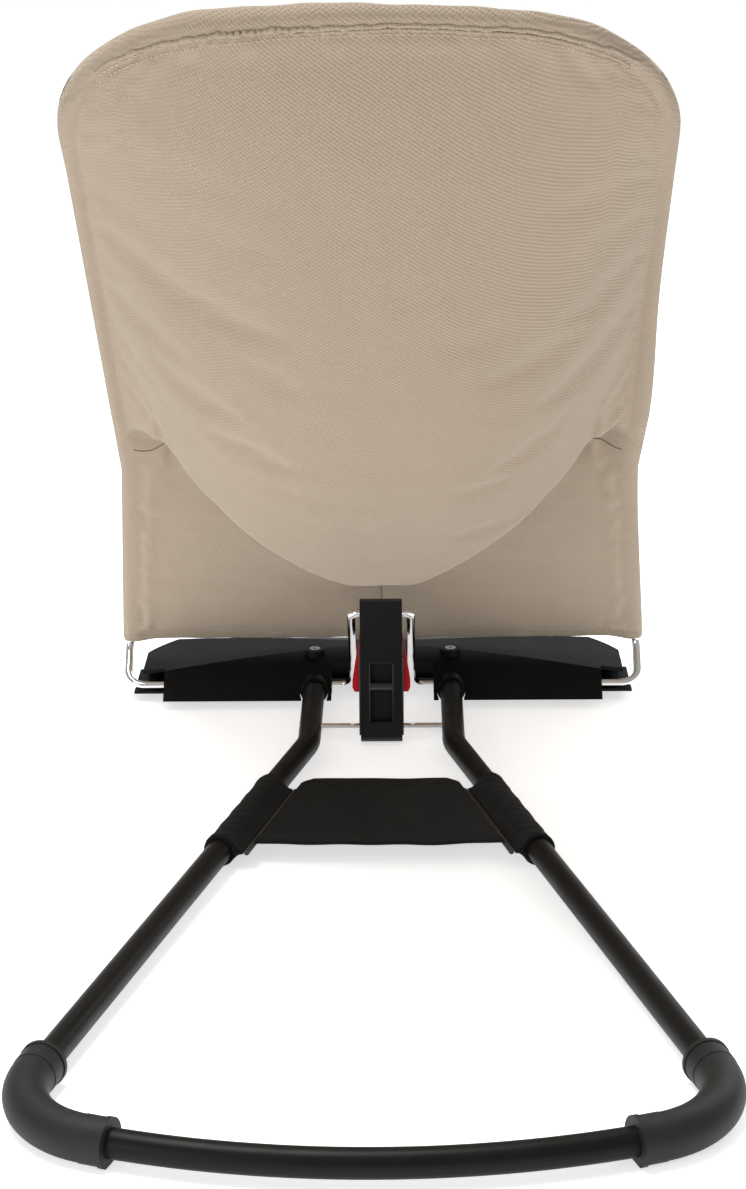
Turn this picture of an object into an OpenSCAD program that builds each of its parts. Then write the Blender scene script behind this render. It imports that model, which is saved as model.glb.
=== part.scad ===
// Folding wire bouncer seat: tube base, chrome wire seat hoop, sewn cover and a folding catch.
// Millimetres, +Z up. The foot end faces -Y and the open rear end of the base faces +Y.
// The origin is at floor level, below the middle of the overall box.

/* [Overall placement] */
// distance of the hinge line in front of the origin
hinge_forward = 305.5; // [280:1:330]
// height of the hinge line above the floor
hinge_height = 12; // [11:0.5:16]
// pitch of the seat plane at rest, in degrees
seat_pitch = 45.6; // [40:0.1:50]

/* [Base tube] */
// outer radius of the black base tube
tube_radius = 8; // [7:0.5:10]
// wall thickness of the base tube
tube_wall = 1.2; // [1:0.1:2]
// height of the tube centre above the floor
tube_height = 11.5; // [10:0.5:14]
// sideways position of the two parallel legs at the front
leg_front_x = 51; // [45:1:60]
// where the legs start to splay, behind the hinge line
leg_bend_y = 120; // [100:1:140]
// sideways position of the rear corner
corner_x = 192; // [180:1:200]
// rear corner, behind the hinge line
corner_y = 649; // [600:1:700]
// virtual tip of the rear bow, behind the hinge line
bow_tip_y = 717; // [680:1:740]
// bend radius where the legs splay
leg_bend_radius = 60; // [40:5:100]
// bend radius of the rear corners
corner_radius = 55; // [45:1:60]

/* [Corner feet] */
// outer radius of the rubber corner feet
foot_radius = 12.3; // [11:0.1:14]
// radius of the lips at the ends of the corner feet
lip_radius = 13.2; // [12:0.1:15]
// length of straight sleeve on each side of a corner foot
foot_sleeve = 14; // [10:1:25]

/* [Front foot] */
// half width of the front foot
front_half = 192; // [180:1:200]
// radius of the front corners in plan
front_corner = 85; // [60:1:100]
// front edge, in front of the hinge line
front_reach = 90; // [70:1:100]
// rear edge, behind the hinge line
rear_reach = 5; // [4:0.5:10]
// highest point of the foot above the floor
front_top = 32; // [28:0.5:36]
// wall thickness of the foot moulding
front_wall = 3; // [2:0.25:4]

/* [Wire] */
// radius of the chrome wire
wire_radius = 3; // [2.5:0.1:4]
// half width of the hoop at the hinge
hoop_low_half = 191; // [180:1:195]
// half width of the hoop behind the seated child's hips
hoop_mid_half = 167; // [160:1:180]
// half width of the hoop at its top corners
hoop_high_half = 163; // [155:1:175]
// length of the hoop along the seat plane
hoop_length = 710; // [650:1:730]
// corner radius at the top of the hoop
hoop_corner = 95; // [70:1:100]
// length of the riser between the hinge runs and the seat plane
riser = 40; // [30:1:50]
// small bend radius at the hinge corners
hoop_bend = 12; // [8:1:16]

/* [Support loop and catch] */
// reach of the support loop from the hinge line
loop_reach = 112; // [100:0.5:125]
// pitch of the support loop at rest, in degrees
loop_pitch = 46.7; // [44:0.1:50]
// half width of the support loop
loop_half = 21.3; // [20:0.1:26]
// crossbar, behind the hinge line
crossbar_y = 89.3; // [80:0.1:95]
// folding travel of the seat, in degrees
fold_angle = 41; // [30:1:42]
// turning of the strut over the folding travel, in degrees
strut_turn = 93.7; // [80:0.1:95]
// half width of the strut
strut_half = 14.8; // [14.5:0.1:16]
// strut thickness behind the line between its two wires
strut_back = 8.5; // [7:0.1:10]
// running clearance of wires in their seats
running = 0.05; // [0.02:0.01:0.08]
// how far a release button stands out of the strut
button_out = 5.8; // [4:0.1:7]

/* [Cover] */
// thickness of the fabric cover
cover_thick = 6; // [3:0.5:8]
// deepest point of the seat pouch below the hoop plane
pouch_depth = 90; // [60:1:110]
// where the pouch starts, along the seat plane
pouch_start = 124; // [110:1:135]
// where the pouch is deepest, along the seat plane
pouch_peak = 400; // [350:5:450]
// how far the harness flap stands off the cover
flap_gap = 5; // [3:0.5:8]

/* [Web] */
// front edge of the web, behind the hinge line
web_front_y = 204; // [190:1:220]
// rear edge of the web, behind the hinge line
web_rear_y = 308; // [290:1:330]

/* [Hidden] */
$fn = 48;
hair = 0.03;
lap = 0.25;
y_hinge = -hinge_forward;
leg_turn = atan2(corner_x - leg_front_x, corner_y - leg_bend_y);
leg_run = norm([corner_x - leg_front_x, corner_y - leg_bend_y]);
leg_dir = [sin(leg_turn), cos(leg_turn)];
bow_run = norm([corner_x, bow_tip_y - corner_y]);
bow_dir = [-corner_x, bow_tip_y - corner_y] / bow_run;
bow_az = atan2(bow_dir[1], bow_dir[0]);
corner_turn = bow_az - (90 - leg_turn);
corner_tan = corner_radius * tan(corner_turn / 2);
leg_end = [corner_x, corner_y] - leg_dir * corner_tan;
bow_end = [corner_x, corner_y] + bow_dir * corner_tan;
crossbar_z = tube_height - hinge_height;
strut_steps = 20;
// centre of the loop's top wire after folding by angle a, from the hinge line
function top_wire(a) = [loop_reach * cos(loop_pitch - a), loop_reach * sin(loop_pitch - a)];
function from_bar(a) = top_wire(a) - [crossbar_y, crossbar_z];
function az(v) = atan2(v[1], v[0]);
strut_lean = az(from_bar(0));
function strut_az(a) = strut_lean - strut_turn * a / fold_angle;
// the same wire seen from the strut: distance along it, and distance towards its front face
function slot_point(a) =
    norm(from_bar(a)) * [cos(az(from_bar(a)) - strut_az(a)), sin(az(from_bar(a)) - strut_az(a))];
function slot_at(i) = slot_point(fold_angle * i / strut_steps);
function unit(v) = v / norm(v);
function slot_dir(i) = unit(slot_at(min(i + 1, strut_steps)) - slot_at(max(i - 1, 0)));
function slot_side(i, d) = slot_at(i) + d * [-slot_dir(i)[1], slot_dir(i)[0]];
strut_top = slot_at(0)[0];
slot_low = slot_at(strut_steps);
top_start = hoop_length - 17 - hoop_corner * tan(41.8);
edge_gap = wire_radius + 1.3;
hoop_knee = 250;
hoop_top_t = hoop_length - 17;
// half width of the hoop at a distance t along the seat plane
function low_half(t) = t < hoop_knee
    ? hoop_low_half - (hoop_low_half - hoop_mid_half) * t / hoop_knee
    : hoop_mid_half - (hoop_mid_half - hoop_high_half) * (t - hoop_knee) / (hoop_top_t - hoop_knee);
function over(t) = min(max(t - top_start, 0), hoop_corner - edge_gap - 1);
function cover_half(t) = low_half(t) - hoop_corner + sqrt(pow(hoop_corner - edge_gap, 2) - pow(over(t), 2));
// how far the pouch hangs below the hoop plane at t along it and u across it (-1 to 1)
pouch_crease = 0.87;
wing_depth = 19.5;
function ease(x) = x <= 0 ? 0 : x >= 1 ? 1 : x;
function smooth(a, b, v) = let (k = ease((v - a) / (b - a))) k * k * (3 - 2 * k);
function soft_min(a, b, k) = let (h = ease(0.5 + 0.5 * (b - a) / k)) b * (1 - h) + a * h - k * h * (1 - h);
function seam_t(u) = pouch_start + 172 * ease((abs(u) - 0.25) / 0.6);
function hang(t) = t < pouch_peak
    ? 1 - 0.62 * pow((pouch_peak - t) / 290, 2)
    : pow(cos(90 * ease((t - pouch_peak) / (hoop_length - 12 - pouch_peak))), 0.85);
function share(t, u) = abs(u) / (pouch_crease + (1 - pouch_crease) * smooth(290, 500, t));
function bag(t, u) =
    hang(t) * pouch_depth * pow(max(1 - pow(share(t, u), 3.1 - smooth(300, 600, t)), 0), 0.9);
function wing(t, u) = hang(t) * wing_depth * ease((1 - abs(u)) / (1 - pouch_crease));
function sunk(t, u) = -soft_min(-bag(t, u), -wing(t, u), 6);
function past(t, u) = t - seam_t(u);
function bowl(t, u) = past(t, u) <= 0 || abs(u) >= 1
    ? 0
    : max(soft_min(sunk(t, u), 0.86 * past(t, u), 12), 0) * smooth(0, 30, past(t, u));

// a round wire or tube along a 3-D path with a bend of radius r[i] at each inner point
function turn_at(p, i) = acos(min(1, unit(p[i] - p[i - 1]) * unit(p[i + 1] - p[i])));
function tan_len(p, r, i) = (i <= 0 || i >= len(p) - 1) ? 0 : r[i] * tan(turn_at(p, i) / 2);
function seg_a(p, r, i) = p[i] + unit(p[i + 1] - p[i]) * tan_len(p, r, i);
function seg_b(p, r, i) = p[i + 1] - unit(p[i + 1] - p[i]) * tan_len(p, r, i + 1);

// turns about X, Y and Z that carry the axes onto e1, e2 and e3
function frame_turns(e1, e2, e3) = abs(e1[2]) > 0.99999
    ? [atan2(-sign(e1[2]) * e2[0], e2[1]), -90 * sign(e1[2]), 0]
    : [atan2(e2[2], e3[2]), -asin(e1[2]), atan2(e1[1], e1[0])];

module ring_section(outer, inner) {
    difference() {
        circle(r = outer);
        if (inner > 0) {
            circle(r = inner);
        }
    }
}

module bar(a, b, outer, inner = 0) {
    v = b - a;
    translate(a)
        rotate([0, acos(v[2] / norm(v)), atan2(v[1], v[0])])
            linear_extrude(norm(v))
                ring_section(outer, inner);
}

module bend(p, r, i, outer, inner = 0) {
    d0 = unit(p[i] - p[i - 1]);
    d1 = unit(p[i + 1] - p[i]);
    e3 = unit(cross(d0, d1));
    e1 = cross(d0, e3);
    e2 = cross(e3, e1);
    start = p[i] - d0 * tan_len(p, r, i);
    translate(start - e1 * r[i])
        rotate(frame_turns(e1, e2, e3))
            rotate_extrude(angle = turn_at(p, i))
                translate([r[i], 0])
                    ring_section(outer, inner);
}

// bends are drawn a hair thicker, and straights run a little way into them, so the pieces join solidly
module bent(p, r, outer, inner = 0) {
    for (i = [0 : len(p) - 2]) {
        run = unit(p[i + 1] - p[i]);
        back = i == 0 ? 0 : lap;
        ahead = i == len(p) - 2 ? 0 : lap;
        bar(seg_a(p, r, i) - run * back, seg_b(p, r, i) + run * ahead, outer, inner);
    }
    for (i = [1 : len(p) - 2]) {
        bend(p, r, i, outer + hair, inner > 0 ? inner - hair : 0);
    }
}

module at_hinge() {
    translate([0, y_hinge, hinge_height])
        children();
}

module on_floor() {
    translate([0, y_hinge, 0])
        children();
}

module both() {
    children();
    mirror([1, 0, 0])
        children();
}

module side(s) {
    if (s > 0) {
        children();
    } else {
        mirror([1, 0, 0])
            children();
    }
}

module seat_frame() {
    at_hinge()
        rotate([seat_pitch, 0, 0])
            children();
}

module strut_frame() {
    at_hinge()
        translate([0, crossbar_y, crossbar_z])
            rotate([strut_lean, 0, 0])
                children();
}

// a flat shape drawn as (along the strut, towards its front) pushed out sideways
module strut_slice(half) {
    rotate([90, 0, 90])
        translate([0, 0, -half])
            linear_extrude(2 * half)
                children();
}

// ---------------------------------------------------------------- base
leg_path = [
    [leg_front_x, -32, tube_height],
    [leg_front_x, leg_bend_y, tube_height],
    [leg_end[0], leg_end[1], tube_height]
];

module leg_tube() {
    difference() {
        bent(leg_path, [0, leg_bend_radius, 0], tube_radius, tube_radius - tube_wall);
        translate([leg_front_x - 20, 0, hinge_height])
            rotate([0, 90, 0])
                cylinder(r = wire_radius + running, h = 40);
        translate([leg_front_x - 20, crossbar_y, tube_height])
            rotate([0, 90, 0])
                cylinder(r = wire_radius, h = 21);
        translate([leg_front_x, -20, 0])
            cylinder(r = 2.05, h = 40);
    }
}

module left_leg_tube() {
    color([0.05, 0.05, 0.05])
        on_floor()
            side(1)
                leg_tube();
}

module right_leg_tube() {
    color([0.05, 0.05, 0.05])
        on_floor()
            side(-1)
                leg_tube();
}

bow_half = bow_az - 90;
bow_radius = bow_end[0] / cos(bow_half);

module bow_arc(outer, inner) {
    translate([0, bow_end[1] - bow_radius * sin(bow_half), tube_height])
        rotate([0, 0, bow_half])
            rotate_extrude(angle = 180 - 2 * bow_half)
                translate([bow_radius, 0])
                    ring_section(outer, inner);
}

module rear_bow_tube() {
    color([0.05, 0.05, 0.05])
        on_floor()
            bow_arc(tube_radius, tube_radius - tube_wall);
}

module corner_foot() {
    a = [leg_end[0], leg_end[1], tube_height];
    b = [bow_end[0], bow_end[1], tube_height];
    u = [leg_dir[0], leg_dir[1], 0];
    w = [bow_dir[0], bow_dir[1], 0];
    p = [a - u * foot_sleeve, [corner_x, corner_y, tube_height], b + w * foot_sleeve];
    difference() {
        union() {
            bend(p, [0, corner_radius, 0], 1, foot_radius);
            bar(a - u * foot_sleeve, a + u * 0.5, foot_radius + 0.3);
            bar(b - w * 0.5, b + w * foot_sleeve, foot_radius + 0.3);
            bar(a - u * foot_sleeve, a - u * (foot_sleeve - 3), lip_radius);
            bar(b + w * (foot_sleeve - 3), b + w * foot_sleeve, lip_radius);
        }
        bar(a - u * (foot_sleeve + 1), a, tube_radius + running, tube_radius - tube_wall - running);
        bow_arc(tube_radius + running, 0);
        translate([0, 500, -10])
            cube([300, 300, 10]);
    }
}

module left_corner_foot() {
    color([0.03, 0.03, 0.03])
        on_floor()
            side(1)
                corner_foot();
}

module right_corner_foot() {
    color([0.03, 0.03, 0.03])
        on_floor()
            side(-1)
                corner_foot();
}

module crossbar_rod() {
    color([0.75, 0.75, 0.77])
        on_floor()
            translate([-leg_front_x + 1, crossbar_y, tube_height])
                rotate([0, 90, 0])
                    cylinder(r = wire_radius - 0.01, h = 2 * leg_front_x - 2);
}

module front_plan(inset) {
    w = front_half - inset;
    r = front_corner - inset;
    f = front_reach - inset;
    union() {
        translate([-w, -front_reach + front_corner])
            square([2 * w, rear_reach - inset + front_reach - front_corner]);
        translate([-w + r, -f])
            square([2 * (w - r), f + rear_reach - inset]);
        translate([w - r, -f + r])
            circle(r = r);
        translate([-w + r, -f + r])
            circle(r = r);
    }
}

module front_solid(inset, low) {
    intersection() {
        translate([0, 0, low])
            linear_extrude(60)
                front_plan(inset);
        translate([-250, -37, front_top - 80])
            rotate([0, 90, 0])
                cylinder(r = 80 - inset, h = 500, $fn = 360);
        translate([0, 50, front_top - 1500])
            rotate([90, 0, 0])
                cylinder(r = 1500 - inset, h = 200, $fn = 1440);
    }
}

module leg_socket_solid(extra) {
    translate([leg_front_x, 13, tube_height])
        rotate([90, 0, 0])
            cylinder(r = 10.5 + extra, h = 47 + extra);
    translate([leg_front_x, -20, tube_height])
        cylinder(r = 7.6 + extra, h = 22);
}

foot_rib_x = [-152, -112, -72, 72, 112, 152];
rear_foot_z = 6.6;

module front_foot() {
    color([0.04, 0.04, 0.04])
        on_floor()
            foot_trim();
    color([0.04, 0.04, 0.04])
        on_floor()
            difference() {
                union() {
                    difference() {
                        front_solid(0, 2.8);
                        front_solid(front_wall, 2);
                    }
                    intersection() {
                        front_solid(0.5, 2.8);
                        union() {
                            for (x = foot_rib_x) {
                                translate([x - 2, -86, 0])
                                    cube([4, 98, 60]);
                            }
                            translate([-162, -6, 5])
                                cube([324, 12, 14]);
                            translate([-180, -48, 2.8])
                                cube([360, 3, 40]);
                        }
                    }
                }
                translate([-200, -34, 0])
                    cube([400, 60, rear_foot_z]);
                translate([-200, 0, hinge_height])
                    rotate([0, 90, 0])
                        cylinder(r = wire_radius + running, h = 400);
                both()
                    leg_socket_solid(0.05);
                translate([-38, -8, -1])
                    cube([76, 40, 60]);
                both()
                    translate([leg_front_x, 30, tube_height])
                        rotate([90, 0, 0])
                            cylinder(r = 10.55, h = 50);
                both()
                    translate([163, -7, 5.4])
                        cube([60, 90, 60]);
                both()
                    translate([180, -52, 5.4])
                        cube([60, 90, 60]);
            }
}

// lobes under the wire ends, and beads along the rear wall
module foot_trim() {
    both() {
        translate([150, -46, rear_foot_z])
            linear_extrude(1.9)
                square([36, 50]);
        translate([66, rear_reach - 0.3, 16.2])
            cube([96, 1.5, 1.5]);
        translate([118, rear_reach - 0.3, 8])
            cube([2, 1.5, 9]);
    }
}

module foot_sole_pad() {
    color([0.02, 0.02, 0.02])
        on_floor()
            intersection() {
                linear_extrude(2.8)
                    front_plan(9);
                translate([-200, -84, -1])
                    cube([400, 46, 10]);
            }
}

module leg_socket() {
    difference() {
        leg_socket_solid(0);
        translate([leg_front_x, 14, tube_height])
            rotate([90, 0, 0])
                cylinder(r = tube_radius + running, h = 46.1);
        translate([leg_front_x - 20, 0, hinge_height])
            rotate([0, 90, 0])
                cylinder(r = wire_radius + running, h = 40);
        translate([leg_front_x, -20, 0])
            cylinder(r = 2.05, h = 40);
        translate([leg_front_x, -20, 31.3])
            cylinder(r = 4.4, h = 10);
    }
}

module left_leg_socket() {
    color([0.05, 0.05, 0.05])
        on_floor()
            side(1)
                leg_socket();
}

module right_leg_socket() {
    color([0.05, 0.05, 0.05])
        on_floor()
            side(-1)
                leg_socket();
}

module leg_screw() {
    translate([leg_front_x, -20, 3])
        cylinder(r = 2, h = 29);
    difference() {
        translate([leg_front_x, -20, 31.35])
            cylinder(r = 4.1, h = 2.4);
        translate([leg_front_x - 2.4, -20.5, 32.6])
            cube([4.8, 1, 3]);
        translate([leg_front_x - 0.5, -22.4, 32.6])
            cube([1, 4.8, 3]);
    }
}

module left_leg_screw() {
    color([0.7, 0.7, 0.7])
        on_floor()
            side(1)
                leg_screw();
}

module right_leg_screw() {
    color([0.7, 0.7, 0.7])
        on_floor()
            side(-1)
                leg_screw();
}

// ---------------------------------------------------------------- web between the legs
module leg_line() {
    on_floor()
        translate([leg_front_x, leg_bend_y, tube_height])
            rotate([0, 0, -leg_turn])
                children();
}

web_s0 = (web_front_y - leg_bend_y) / cos(leg_turn);
web_s1 = (web_rear_y - leg_bend_y) / cos(leg_turn);

module web_sleeve() {
    translate([0, web_s1, 0])
        rotate([90, 0, 0])
            linear_extrude(web_s1 - web_s0)
                difference() {
                    union() {
                        circle(r = tube_radius + 2.1);
                        translate([-15.4, -1.1])
                            square([10, 2.2]);
                    }
                    circle(r = tube_radius + 0.3);
                }
}

module left_web_sleeve() {
    color([0.03, 0.03, 0.03])
        leg_line()
            web_sleeve();
}

module right_web_sleeve() {
    color([0.03, 0.03, 0.03])
        mirror([1, 0, 0])
            leg_line()
                web_sleeve();
}

module web_piping() {
    translate([-17.5, web_s1 - 1, 0])
        rotate([90, 0, 0])
            cylinder(r = 1.8, h = web_s1 - web_s0 - 2);
}

module left_web_piping() {
    color([0.06, 0.06, 0.06])
        leg_line()
            web_piping();
}

module right_web_piping() {
    color([0.06, 0.06, 0.06])
        mirror([1, 0, 0])
            leg_line()
                web_piping();
}

function web_x(y) = leg_front_x + (y - leg_bend_y) * tan(leg_turn) - 19.7 / cos(leg_turn);

module web_panel() {
    y0 = web_front_y - 9;
    y1 = web_rear_y - 7;
    color([0.05, 0.05, 0.05])
        on_floor()
            translate([0, 0, tube_height + 1.7])
                linear_extrude(1.8)
                    polygon([
                        [-web_x(y0), y0],
                        [web_x(y0), y0],
                        [web_x(y1), y1],
                        [-web_x(y1), y1]
                    ]);
}

// ---------------------------------------------------------------- support loop
module support_loop_wire() {
    p = [
        [-94.8, 0, 0],
        [-loop_half, 0, 0],
        [-loop_half, loop_reach, 0],
        [loop_half, loop_reach, 0],
        [loop_half, 0, 0],
        [94.8, 0, 0]
    ];
    color([0.78, 0.78, 0.8])
        at_hinge()
            rotate([loop_pitch, 0, 0])
                bent(p, [0, 10, 5, 5, 10, 0], wire_radius);
}

// ---------------------------------------------------------------- seat hoop
hoop_split = 560;

module side_wire() {
    p = [
        [95.2, 0, 0],
        [hoop_low_half, 0, 0],
        [hoop_low_half, 0, riser],
        [hoop_mid_half, hoop_knee, riser],
        [low_half(hoop_split), hoop_split, riser]
    ];
    bent(p, [0, hoop_bend, hoop_bend, 800, 0], wire_radius);
}

module left_side_wire() {
    color([0.78, 0.78, 0.8])
        seat_frame()
            side(1)
                side_wire();
}

module right_side_wire() {
    color([0.78, 0.78, 0.8])
        seat_frame()
            side(-1)
                side_wire();
}

module top_bow_wire() {
    h = hoop_high_half;
    n = riser;
    p = [
        [low_half(hoop_split), hoop_split, n],
        [h, hoop_top_t, n],
        [0, hoop_length, n],
        [-h, hoop_top_t, n],
        [-low_half(hoop_split), hoop_split, n]
    ];
    color([0.78, 0.78, 0.8])
        seat_frame()
            bent(p, [0, hoop_corner, 600, hoop_corner, 0], wire_radius);
}

// ---------------------------------------------------------------- cover
// a soft sheet of even thickness over a grid: t from t0 to t1, half width from a function of t
cols = 22;
function u_at(j) = -1 + 2 * j / cols;
function row_t(t0, t1, rows, i) = t0 + (t1 - t0) * i / rows;
function cover_point(t, j, lift) = [
    u_at(j) * cover_half(t),
    t,
    riser - bowl(t, u_at(j)) + lift
];
// the drop of the cover as it is drawn, straight between its columns
function column(u) = min(floor((u + 1) * cols / 2), cols - 1);
function drawn(t, u) = let (j = column(u), k = (u + 1) * cols / 2 - j)
    bowl(t, u_at(j)) * (1 - k) + bowl(t, u_at(j + 1)) * k;
function flap_half(t) = 48 + 62 * ease((t - 190) / 60);
function flap_point(t, j, lift) = [
    u_at(j) * flap_half(t),
    t,
    riser - drawn(t, u_at(j) * flap_half(t) / cover_half(t)) + lift
];
// the quads are split the same way on both sides of the middle
function half_way(j) = j < cols / 2;
function up_a(i, j) = half_way(j)
    ? [top(i, j), top(i + 1, j), top(i + 1, j + 1)]
    : [top(i, j), top(i + 1, j), top(i, j + 1)];
function up_b(i, j) = half_way(j)
    ? [top(i, j), top(i + 1, j + 1), top(i, j + 1)]
    : [top(i + 1, j), top(i + 1, j + 1), top(i, j + 1)];
function moved(rows, f) = [for (k = [2 : -1 : 0]) f[k] + (rows + 1) * (cols + 1)];
function grid_faces(rows) = concat(
    [for (i = [0 : rows - 1]) for (j = [0 : cols - 1]) up_a(i, j)],
    [for (i = [0 : rows - 1]) for (j = [0 : cols - 1]) up_b(i, j)],
    [for (i = [0 : rows - 1]) for (j = [0 : cols - 1]) moved(rows, up_a(i, j))],
    [for (i = [0 : rows - 1]) for (j = [0 : cols - 1]) moved(rows, up_b(i, j))],
    [for (i = [0 : rows - 1]) [top(i, 0), low(rows, i, 0), low(rows, i + 1, 0)]],
    [for (i = [0 : rows - 1]) [top(i, 0), low(rows, i + 1, 0), top(i + 1, 0)]],
    [for (i = [0 : rows - 1]) [top(i, cols), low(rows, i + 1, cols), low(rows, i, cols)]],
    [for (i = [0 : rows - 1]) [top(i, cols), top(i + 1, cols), low(rows, i + 1, cols)]],
    [for (j = [0 : cols - 1]) [top(0, j), low(rows, 0, j + 1), low(rows, 0, j)]],
    [for (j = [0 : cols - 1]) [top(0, j), top(0, j + 1), low(rows, 0, j + 1)]],
    [for (j = [0 : cols - 1]) [top(rows, j), low(rows, rows, j), low(rows, rows, j + 1)]],
    [for (j = [0 : cols - 1]) [top(rows, j), low(rows, rows, j + 1), top(rows, j + 1)]]
);
function top(i, j) = i * (cols + 1) + j;
function low(rows, i, j) = (rows + 1) * (cols + 1) + i * (cols + 1) + j;

cover_from = 8;
cover_to = 694;

module seat_cover() {
    rows = 44;
    a = cover_thick / 2;
    up = [for (i = [0 : rows]) for (j = [0 : cols]) cover_point(row_t(cover_from, cover_to, rows, i), j, a)];
    dn = [for (i = [0 : rows]) for (j = [0 : cols]) cover_point(row_t(cover_from, cover_to, rows, i), j, -a)];
    color([0.72, 0.64, 0.52])
        seat_frame()
            polyhedron(points = concat(up, dn), faces = grid_faces(rows), convexity = 8);
}

flap_thick = 5;
flap_from = 125;
flap_to = 345;
flap_top = cover_thick / 2 + flap_gap;

module harness_flap() {
    rows = 22;
    up = [for (i = [0 : rows]) for (j = [0 : cols])
        flap_point(row_t(flap_from, flap_to, rows, i), j, flap_top + flap_thick)];
    dn = [for (i = [0 : rows]) for (j = [0 : cols])
        flap_point(row_t(flap_from, flap_to, rows, i), j, flap_top)];
    color([0.74, 0.66, 0.54])
        seat_frame()
            polyhedron(points = concat(up, dn), faces = grid_faces(rows), convexity = 6);
}

// the toggles lie on the flap, near its upper corners
toggle_x = 88;
toggle_t = 305;
toggle_lean = 32;
toggle_lift = 7.8;

module toggle() {
    toggle_sink = drawn(toggle_t, toggle_x / cover_half(toggle_t));
    translate([toggle_x, toggle_t, riser - toggle_sink + flap_top + toggle_lift])
        rotate([0, -toggle_lean, 0])
            difference() {
                cylinder(r = 9, h = 4);
                translate([0, 0, 2.6])
                    cylinder(r = 6.5, h = 3);
            }
}

module left_toggle() {
    color([0.6, 0.52, 0.42])
        seat_frame()
            side(1)
                toggle();
}

module right_toggle() {
    color([0.6, 0.52, 0.42])
        seat_frame()
            side(-1)
                toggle();
}

// ---------------------------------------------------------------- folding strut
cap_from = 66;
skin = 7;

function on_circle(c, r, a) = c + r * [cos(a), sin(a)];
function round_end(c, r, a0, a1) = [for (k = [1 : 23]) on_circle(c, r, a0 + (a1 - a0) * k / 24)];
function way(i) = az(slot_dir(i));

// the curved slot, with round ends
module strut_cut() {
    w = wire_radius + running;
    e = strut_steps;
    polygon(concat(
        [for (i = [0 : e]) slot_side(i, -w)],
        round_end(slot_at(e), w, way(e) - 90, way(e) + 90),
        [for (i = [e : -1 : 0]) slot_side(i, w)],
        round_end(slot_at(0), w, way(0) + 90, way(0) + 270)
    ));
}

// side view of the strut: flat back, round heel and a front that follows the slot
module strut_outline() {
    heel = 10.3;
    a = asin(strut_back / heel);
    polygon(concat(
        [for (i = [0 : strut_steps]) slot_side(i, -skin)],
        [for (k = [0 : 10]) heel * [cos(120 + (60 + a) * k / 10), sin(120 + (60 + a) * k / 10)]],
        [[strut_top + 9.5, -strut_back], [strut_top + 9.5, 4]]
    ));
}

module button_plan(grow) {
    polygon([
        [13.4 - grow, 27 - grow],
        [strut_half + button_out - 1.5, 27 - grow],
        [strut_half + button_out, 30],
        [strut_half + button_out, 35],
        [strut_half + 0.6, 68 + grow],
        [13.4 - grow, 68 + grow]
    ]);
}

module strut_body() {
    color([0.05, 0.05, 0.05])
        strut_frame()
            difference() {
                strut_slice(strut_half)
                    difference() {
                        strut_outline();
                        strut_cut();
                        circle(r = wire_radius + running);
                        translate([cap_from, -40])
                            square([80, 80]);
                    }
                translate([-8.3, 5.5, -strut_back - 1])
                    cube([16.6, 43, 6.6]);
                translate([-9.6, 31, -6.1])
                    rotate([0, 90, 0])
                        cylinder(r = 1.25, h = 19.2);
                both()
                    translate([9.7, 26.6, -6.3])
                        cube([10, cap_from - 26.5, 8.6]);
            }
}

module strut_cap() {
    color([0.04, 0.04, 0.04])
        strut_frame()
            difference() {
                strut_slice(strut_half + 0.2)
                    difference() {
                        intersection() {
                            strut_outline();
                            translate([cap_from + 0.05, -40])
                                square([80, 80]);
                        }
                        strut_cut();
                    }
                both()
                    translate([9.7, 60, -6.3])
                        cube([10, 8.4, 8.6]);
            }
}

module strut_roller() {
    color([0.1, 0.1, 0.1])
        strut_frame()
            union() {
                translate([-7.9, 31, -6.1])
                    rotate([0, 90, 0])
                        cylinder(r = 3.1, h = 15.8);
                translate([-9.4, 31, -6.1])
                    rotate([0, 90, 0])
                        cylinder(r = 1.2, h = 18.8);
            }
}

module release_button() {
    translate([0, 0, -6])
        linear_extrude(8)
            button_plan(0);
}

module left_release_button() {
    color([0.75, 0.03, 0.06])
        strut_frame()
            side(1)
                release_button();
}

module right_release_button() {
    color([0.75, 0.03, 0.06])
        strut_frame()
            side(-1)
                release_button();
}

left_leg_tube();
right_leg_tube();
rear_bow_tube();
left_corner_foot();
right_corner_foot();
crossbar_rod();
front_foot();
foot_sole_pad();
left_leg_socket();
right_leg_socket();
left_leg_screw();
right_leg_screw();
web_panel();
left_web_sleeve();
right_web_sleeve();
left_web_piping();
right_web_piping();
support_loop_wire();
left_side_wire();
right_side_wire();
top_bow_wire();
seat_cover();
harness_flap();
left_toggle();
right_toggle();
strut_body();
strut_cap();
strut_roller();
left_release_button();
right_release_button();
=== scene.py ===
import math
import bmesh
import bpy
import numpy as np
from mathutils import Matrix, Vector
from mathutils.bvhtree import BVHTree


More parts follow.
